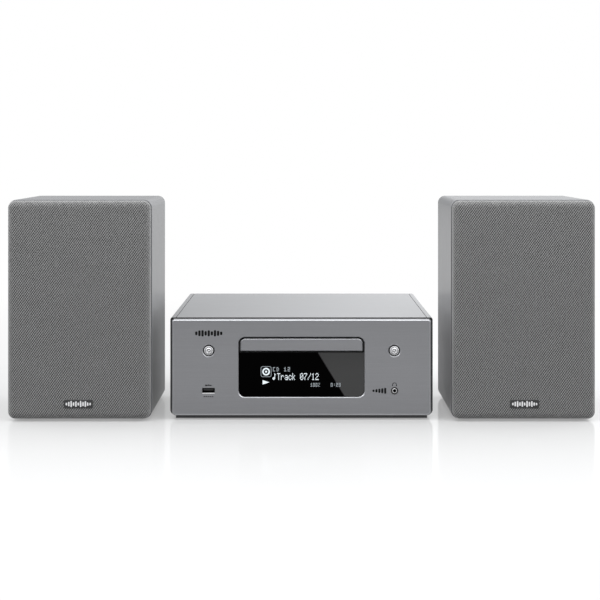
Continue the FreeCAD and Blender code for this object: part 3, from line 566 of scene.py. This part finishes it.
# A 5 by 7 dot font and a 3 by 5 one, only for what the display shows.
LARGE = {
    "T": "11111 00100 00100 00100 00100 00100 00100",
    "r": "00000 00000 10110 11001 10000 10000 10000",
    "a": "00000 00000 01110 00001 01111 10001 01111",
    "c": "00000 00000 01110 10001 10000 10001 01110",
    "k": "10000 10000 10010 10100 11000 10100 10010",
    "0": "01110 10001 10011 10101 11001 10001 01110",
    "7": "11111 00001 00010 00100 01000 01000 01000",
    "/": "00001 00001 00010 00100 01000 10000 10000",
    "1": "00100 01100 00100 00100 00100 00100 01110",
    "2": "01110 10001 00001 00110 01000 10000 11111",
    "~": "00010 00011 00010 00010 01110 11110 01100",
    " ": "00000 00000 00000 00000 00000 00000 00000",
}
SMALL = {
    "0": "111 101 101 101 111",
    "1": "010 110 010 010 111",
    "2": "111 001 111 100 111",
    "4": "101 101 111 001 001",
    "3": "111 001 111 001 111",
    ":": "000 010 000 010 000",
    "C": "111 100 100 100 111",
    "D": "110 101 101 101 110",
    "%": "101 001 010 100 101",
    " ": "000 000 000 000 000",
}


def dots(bm, text, font, x0, z_top, dot_x, dot_z, y_front, y_back, gap=1):
    """Writes text as small square dots; x0 and z_top are its upper left corner."""
    for place, letter in enumerate(text):
        rows = font[letter].split()
        start = x0 + place * (len(rows[0]) + gap) * dot_x
        for row, bits in enumerate(rows):
            for column, bit in enumerate(bits):
                if bit == "1":
                    x = start + (column + 0.5) * dot_x
                    z = z_top - (row + 0.5) * dot_z
                    bar(bm, x, z, dot_x * 0.9, dot_z * 0.9, y_front, y_back, dot_x * 0.12)


def ring_of_bars(bm, x, z, r, count, size, start, sweep, y_front, y_back):
    """Short overlapping bars along an arc, as a drawn curved line."""
    for k in range(count):
        t = math.radians(start + sweep * k / (count - 1))
        bar(bm, x + r * math.cos(t), z + r * math.sin(t), size, size, y_front, y_back)


# The display's items, as mm right of and below the glass's upper left corner.
DISC_AT = (29.0, 20.2)
ARROW_AT = (25.3, 29.2)
NOTE_AT = (35.6, 22.0)
TRACK_AT = (40.6, 21.8)
KIND_AT = (36.2, 15.4)
LEVEL_AT = (76.2, 32.2)
TIME_AT = (97.6, 32.2)


def display_pieces(bright, dim):
    """What the display shows: a disc symbol, a play arrow, a track number and a time."""
    low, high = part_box("display_glass")
    y_front, y_back = low.y - 0.05 * MM, low.y + 0.02 * MM
    left, top = low.x, high.z

    def at(x_mm, z_mm):
        return left + x_mm * MM, top - z_mm * MM

    def build_bright(bm):
        x, z = at(*NOTE_AT)
        dots(bm, "~", LARGE, x, z, 0.74 * MM, 1.0 * MM, y_front, y_back)
        x, z = at(*TRACK_AT)
        dots(bm, "Track 07/12", LARGE, x, z, 0.68 * MM, 1.04 * MM, y_front, y_back)
        x, z = at(*ARROW_AT)
        arrow = [(x, z), (x, z - 4.6 * MM), (x + 7.2 * MM, z - 2.3 * MM)]
        slab(bm, list(reversed(arrow)), y_front, y_back)
        x, z = at(*DISC_AT)
        bar(bm, x, z, 2.2 * MM, 2.2 * MM, y_front, y_back, 1.09 * MM)
        ring_of_bars(bm, x, z, 3.3 * MM, 40, 1.5 * MM, 0, 351, y_front, y_back)

    def build_dim(bm):
        x, z = at(*DISC_AT)
        outline = rounded_outline(5.4 * MM, 5.4 * MM, 1.9 * MM)
        for i, (px, pz) in enumerate(outline):
            qx, qz = outline[(i + 1) % len(outline)]
            steps = max(1, int(math.hypot(qx - px, qz - pz) / (0.5 * MM)))
            for k in range(steps):
                share = k / steps
                bar(bm, x + px + (qx - px) * share, z + pz + (qz - pz) * share,
                    0.6 * MM, 0.6 * MM, y_front, y_back)
        x, z = at(*KIND_AT)
        dots(bm, "CD 12", SMALL, x, z, 0.82 * MM, 0.92 * MM, y_front, y_back, gap=1.8)
        x, z = at(*LEVEL_AT)
        dots(bm, "100%", SMALL, x, z, 0.66 * MM, 0.80 * MM, y_front, y_back)
        x, z = at(*TIME_AT)
        dots(bm, "0:23", SMALL, x, z, 0.70 * MM, 0.80 * MM, y_front, y_back)

    piece("display_text", build_bright, bright, "main_unit", 30)
    piece("display_small_text", build_dim, dim, "main_unit", 30)


# The motif on the front: its middle, as mm right of and below the panel's upper left corner, and
# the heights of its bars, as shares of the tallest.
MOTIF_AT = (39.8, 14.9)
MOTIF_BARS = (0.6, 0.9, 1.0, 0.7, 0.95, 0.65, 1.0, 0.8, 0.55)
MOTIF_PITCH = 3.3 * MM


def panel_prints(ink):
    """The symbols printed on the front: a level-meter motif, a port arrow, a headphone arc."""
    low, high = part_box("front_panel")
    y_front, y_back = low.y - 0.03 * MM, low.y + 0.05 * MM
    usb_low, usb_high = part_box("usb_port")
    jack_low, jack_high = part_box("headphone_jack")
    usb_x, usb_z = (usb_low.x + usb_high.x) / 2, (usb_low.z + usb_high.z) / 2
    jack_x, jack_z = (jack_low.x + jack_high.x) / 2, (jack_low.z + jack_high.z) / 2

    def build(bm):
        motif_x, motif_z = low.x + MOTIF_AT[0] * MM, high.z - MOTIF_AT[1] * MM
        for k, height in enumerate(MOTIF_BARS):
            x = motif_x + (k - (len(MOTIF_BARS) - 1) / 2) * MOTIF_PITCH
            bar(bm, x, motif_z, 2.5 * MM, height * 6.8 * MM, y_front, y_back)
        z = usb_z + 5.7 * MM
        bar(bm, usb_x, z, 5.4 * MM, 0.8 * MM, y_front, y_back)
        bar(bm, usb_x - 2.6 * MM, z, 1.8 * MM, 1.8 * MM, y_front, y_back)
        head = [(2.3, -0.8), (3.8, 0.0), (2.3, 0.8)]
        slab(bm, [(usb_x + px * MM, z + pz * MM) for px, pz in head], y_front, y_back)
        bar(bm, usb_x + 0.2 * MM, z + 0.9 * MM, 1.6 * MM, 0.45 * MM, y_front, y_back)
        for k in range(5):
            x = usb_x + (k - 2) * 2.2 * MM
            bar(bm, x, usb_z - 6.2 * MM, 1.6 * MM, 1.0 * MM, y_front, y_back)
        z = jack_z + 6.2 * MM
        ring_of_bars(bm, jack_x, z, 2.2 * MM, 15, 0.7 * MM, 0, 180, y_front, y_back)
        for side in (-1, 1):
            bar(bm, jack_x + side * 2.15 * MM, z - 0.5 * MM, 0.95 * MM, 1.7 * MM, y_front, y_back)
        for k in range(5):
            x = jack_x - (22.3 - 3.1 * k) * MM
            bar(bm, x, jack_z, 2.3 * MM, (2.6 + 0.95 * k) * MM, y_front, y_back)

    piece("panel_print", build, ink, "main_unit", 30)


# The jack's inner ring, as (radius, depth behind the panel's front) in mm.
JACK_RING = ((1.8, 0.9), (1.8, 0.35), (1.95, 0.12), (2.3, 0.12), (2.55, 0.35), (2.55, 0.9))


def port_linings(bright):
    """The jack's bright inner ring and the port's folded lower lip."""
    low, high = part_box("headphone_jack")
    panel_low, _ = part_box("front_panel")
    x, z = (low.x + high.x) / 2, (low.z + high.z) / 2

    def build(bm):
        front = panel_low.y
        lathe(bm, [(r * MM, front + y * MM) for r, y in JACK_RING], x, z, 48)
        usb_low, usb_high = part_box("usb_port")
        usb_x = (usb_low.x + usb_high.x) / 2
        width = usb_high.x - usb_low.x
        bar(bm, usb_x, usb_low.z + 0.2 * MM, width, 0.9 * MM,
            front + 0.05 * MM, front + 1.2 * MM, 0.3 * MM)

    piece("port_linings", build, bright, "main_unit", 30)


# ---- The CAD nodes' materials ----
def paint_nodes():
    silver = satin_paint("silver_paint", 0.21, 0.285, coat=0.2, brushed=0.06)
    board = satin_paint("cabinet_paint", 0.088, 0.34, metallic=0.52, coat=0.06, specular=0.2)
    # A near-black plastic, used also as painted shade in seams, gaps and openings.
    black = moulded("black_plastic", gray(0.009))
    black_and_gap_shade = moulded("black_and_gap_shade", gray(0.002), roughness=0.7)
    steel = satin_paint("dark_steel", 0.022, 0.5, flake=0.2, metallic=0.1)
    zinc = zinc_sheet("zinc_sheet")
    bright = polished("bright_metal", (0.50, 0.50, 0.51), 0.10)
    board_green = circuit_board("circuit_green")
    gear_white = moulded("white_gear", (0.62, 0.60, 0.54), 0.4, 1500)
    red = moulded("cap_red", (0.33, 0.012, 0.010), 0.28, 900)
    cap_black = moulded("cap_black", gray(0.008), 0.28, 900)
    soft_black = rubber("rubber_black")
    paper = cone_paper("cone_paper")
    lens = lens_black("black_glass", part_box("display_glass"))
    finish = {
        silver: ["front_panel", "side_cheek_left", "side_cheek_right", "top_plate", "drawer_front"],
        zinc: ["power_supply", "left_woofer_basket", "right_woofer_basket"],
        black: ["loader_frame", "disc_tray", "traverse", "turntable", "pickup", "disc_clamp",
                "terminal_block", "rear_sockets", "headphone_jack"],
        # Painted shade: the window frame and the port are this deep black for the shade in the gap
        # round the tray and inside the port.
        black_and_gap_shade: ["window_frame", "usb_port"],
        lens: ["display_glass"],
        board_green: ["main_board", "display_board"],
        steel: ["rear_panel", "case_screws", "chassis_base"],
        soft_black: ["unit_feet"],
        gear_white: ["loading_gear", "sled_gear"],
        red: ["unit_cap_left_red", "unit_cap_right_red"],
        cap_black: ["unit_cap_left_black", "unit_cap_right_black"],
    }
    for side in SIDES:
        finish[board] = finish.get(board, []) + [f"{side}_cabinet", f"{side}_baffle"]
        finish[black] += [f"{side}_{part}" for part in
                          ("grille_frame", "port_tube", "terminal_cup", "tweeter")]
        finish[soft_black].append(f"{side}_feet")
        finish[paper] = finish.get(paper, []) + [f"{side}_woofer_cone"]
        finish[red].append(f"{side}_cap_red")
        finish[cap_black].append(f"{side}_cap_black")
    for material, names in finish.items():
        for name in names:
            node = frame["nodes"][name]
            node.data.materials.clear()
            node.data.materials.append(material)
    # Painted shade: the faces at the seams (the cheeks' and cabinets' fronts, the top plate's front
    # and sides) turn black.
    forward, across = Vector((0, -1, 0)), Vector((1, 0, 0))
    paint_gap_shade(frame["nodes"]["side_cheek_left"], black_and_gap_shade, (forward, across))
    paint_gap_shade(frame["nodes"]["side_cheek_right"], black_and_gap_shade, (forward, -across))
    paint_gap_shade(frame["nodes"]["top_plate"], black_and_gap_shade, (forward, across, -across))
    for side in SIDES:
        paint_gap_shade(frame["nodes"][f"{side}_cabinet"], black_and_gap_shade, (forward,))
    dress_sockets(bright, red, moulded("collar_white", gray(0.55), 0.35, 900))
    return bright, black_and_gap_shade, soft_black


def dress_sockets(metal, red, white):
    """Bright metal on the round sockets' shells, a red or white collar round each phono socket."""
    collar_reach, shell_reach = 5.3 * MM, 4.2 * MM
    node = frame["nodes"]["rear_sockets"]
    for material in (metal, red, white):
        node.data.materials.append(material)
    panel_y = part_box("rear_panel")[1].y
    for mount in frame["record"]["mounts"]:
        name, (x, _, z) = mount["name"], mount["pos_m"]
        if not name.startswith(("phono", "aerial")):
            continue
        collar = {"right": 2, "left": 3}.get(name.split("_")[-1], 1)
        for face in node.data.polygons:
            center = node.matrix_world @ face.center
            away = math.hypot(center.x - x, center.z - z)
            if away < collar_reach and center.y > panel_y - 0.1 * MM:
                face.material_index = collar if away > shell_reach else 1


def paint_gap_shade(node, material, directions):
    """Gives the flat faces that look in these directions a second, black material: painted shade
    for the seams and gaps they stand in.
    """
    node.data.materials.append(material)
    for face in node.data.polygons:
        face.material_index = int(any(face.normal.dot(d) > 0.99 for d in directions))


def soften(names, angle=32):
    """Shades the CAD nodes smooth, and keeps edges sharper than angle sharp."""
    for name in names:
        smooth(frame["nodes"][name], angle)


# ---- The studio ----
# Where along Y the floor's gloss fades and its tone turns to white, and its shader's levels.
FLOOR_FADE_Y = (-0.16, -0.60)
FLOOR_WHITE_Y = (0.25, 1.2)
FLOOR_GLOSS = 0.24
FLOOR_TONE = 0.19
FLOOR_GLOW = 0.40
FLOOR_HALF = 6.0


def floor():
    """A pale gloss floor; its gloss fades in front of the set, it turns to white behind it."""
    bm = bmesh.new()
    bmesh.ops.create_grid(bm, x_segments=2, y_segments=2, size=FLOOR_HALF)
    mesh = bpy.data.meshes.new("studio_floor")
    bm.to_mesh(mesh)
    bm.free()
    obj = bpy.data.objects.new("studio_floor", mesh)
    bpy.context.collection.objects.link(obj)
    s = Shade("studio_floor", color=(FLOOR_TONE,) * 3, roughness=0.6)
    s.set("Emission Color", (1, 1, 1, 1))
    s.set("Emission Strength", FLOOR_GLOW)
    s.set("Specular IOR Level", 0.0)
    gloss = s.add("ShaderNodeBsdfGlossy")
    gloss.inputs["Roughness"].default_value = 0.10
    gloss.inputs["Color"].default_value = (1, 1, 1, 1)
    mix = s.add("ShaderNodeMixShader")
    _, y, _ = s.axes()
    near, far = FLOOR_FADE_Y
    share = s.math("DIVIDE", s.math("SUBTRACT", y, far), near - far, clamp=True)
    s.link(s.math("MULTIPLY", share, FLOOR_GLOSS), mix.inputs[0])
    s.link(s.bsdf.outputs[0], mix.inputs[1])
    s.link(gloss.outputs[0], mix.inputs[2])
    white = s.add("ShaderNodeEmission")
    near, far = FLOOR_WHITE_Y
    backdrop = s.add("ShaderNodeMixShader")
    whiteness = s.math("DIVIDE", s.math("SUBTRACT", y, near), far - near, clamp=True)
    s.link(whiteness, backdrop.inputs[0])
    s.link(mix.outputs[0], backdrop.inputs[1])
    s.link(white.outputs[0], backdrop.inputs[2])
    s.link(backdrop.outputs[0], s.tree.nodes["Material Output"].inputs["Surface"])
    mesh.materials.append(s.material)


def area_light(name, place, aim, size, power):
    data = bpy.data.lights.new(name, "AREA")
    data.shape = "RECTANGLE"
    data.size, data.size_y = size
    data.energy = power
    obj = bpy.data.objects.new(name, data)
    obj.location = place
    obj.rotation_euler = (Vector(aim) - Vector(place)).to_track_quat("-Z", "Y").to_euler()
    bpy.context.collection.objects.link(obj)


# Soft light all round, as (direction from, to, light from, to): dimmer from the front, leaning
# to the right, with a bright ceiling and bright walls to the left and right.
ROOM_FADE = (-0.95, -0.35, 0.30, 1.0)
ROOM_LEAN = (-0.09, 0.09, 0.58, 1.04)
ROOM_CEILING = (0.25, 0.60, 0.0, 1.95)
ROOM_WALLS = (0.35, 0.60, 0.0, 1.9)


def room_light():
    """White for the camera; for the set, soft light that depends on its direction."""
    world = bpy.data.worlds.new("studio")
    world.use_nodes = True
    tree = world.node_tree
    link = tree.links.new

    def math_node(operation, *sources):
        node = tree.nodes.new("ShaderNodeMath")
        node.operation = operation
        for source, socket in zip(sources, node.inputs):
            link(source, socket)
        return node.outputs[0]

    def fade(source, limits):
        node = tree.nodes.new("ShaderNodeMapRange")
        node.interpolation_type = "SMOOTHSTEP"
        for socket, value in zip(("From Min", "From Max", "To Min", "To Max"), limits):
            node.inputs[socket].default_value = value
        link(source, node.inputs["Value"])
        return node.outputs["Result"]

    seen = tree.nodes["Background"]
    seen.inputs["Color"].default_value = (1, 1, 1, 1)
    seen.inputs["Strength"].default_value = 1.0
    room = tree.nodes.new("ShaderNodeBackground")
    room.inputs["Color"].default_value = (0.98, 0.99, 1.0, 1)
    split = tree.nodes.new("ShaderNodeSeparateXYZ")
    link(tree.nodes.new("ShaderNodeTexCoord").outputs["Generated"], split.inputs[0])
    x, y, z = split.outputs
    level = math_node("MULTIPLY", fade(y, ROOM_FADE), fade(x, ROOM_LEAN))
    level = math_node("ADD", level, fade(z, ROOM_CEILING))
    level = math_node("ADD", level, fade(math_node("ABSOLUTE", x), ROOM_WALLS))
    link(level, room.inputs["Strength"])
    mix = tree.nodes.new("ShaderNodeMixShader")
    link(tree.nodes.new("ShaderNodeLightPath").outputs["Is Camera Ray"], mix.inputs[0])
    link(room.outputs[0], mix.inputs[1])
    link(seen.outputs[0], mix.inputs[2])
    link(mix.outputs[0], tree.nodes["World Output"].inputs["Surface"])
    bpy.context.scene.world = world


def studio():
    floor()
    room_light()
    area_light("front_strip", (0.0, -0.34, 0.52), (0, -0.15, 0.2), (1.6, 0.15), 4.0)
    area_light("left_wall", (-1.7, 0.1, 0.9), (0, 0, 0.15), (0.9, 0.9), 5)


# The camera: its distance from the panel's front and its height in metres, its lens and its shift.
CAMERA_BACK = 1.632
CAMERA_HEIGHT = 0.283
LENS_MM = 92.2
HORIZON_SHIFT = -0.2442
SIDE_SHIFT = -0.0025


def camera():
    """Level camera, so that uprights stay parallel; the shift frames the set low in the picture."""
    data = bpy.data.cameras.new("camera")
    data.lens = LENS_MM
    data.sensor_width = 36.0
    data.shift_y = HORIZON_SHIFT
    data.shift_x = SIDE_SHIFT
    obj = bpy.data.objects.new("camera", data)
    front_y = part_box("front_panel")[0].y
    obj.location = (0.0, front_y - CAMERA_BACK, CAMERA_HEIGHT)
    obj.rotation_euler = (math.radians(90), 0, 0)
    bpy.context.collection.objects.link(obj)
    scene = bpy.context.scene
    scene.camera = obj
    scene.view_settings.view_transform = "Standard"


def build():
    bright, black_and_gap_shade, soft_black = paint_nodes()
    soften(frame["nodes"])
    badge_bright = polished("badge_bright", (0.78, 0.78, 0.79), 0.24)
    badge_dark = satin_paint("badge_dark", 0.012, 0.4, flake=0.15, metallic=0.3)
    for side in SIDES:
        cloth_piece(side, woven_cloth(f"{side}_cloth_weave", 0.0, 0.136))
        badge_piece(side, badge_dark, badge_bright)
        surround_pieces(side, soft_black)
    button_piece("power_button", "power_key", bright, black_and_gap_shade)
    button_piece("eject_button", "eject_key", bright, black_and_gap_shade)
    display_pieces(lit("display_lit", (0.86, 0.95, 1.0), 1.0),
                   lit("display_dim", (0.60, 0.68, 0.74), 0.45))
    panel_prints(printed("ink", 0.004))
    port_linings(badge_bright)


camera()
studio()
build()
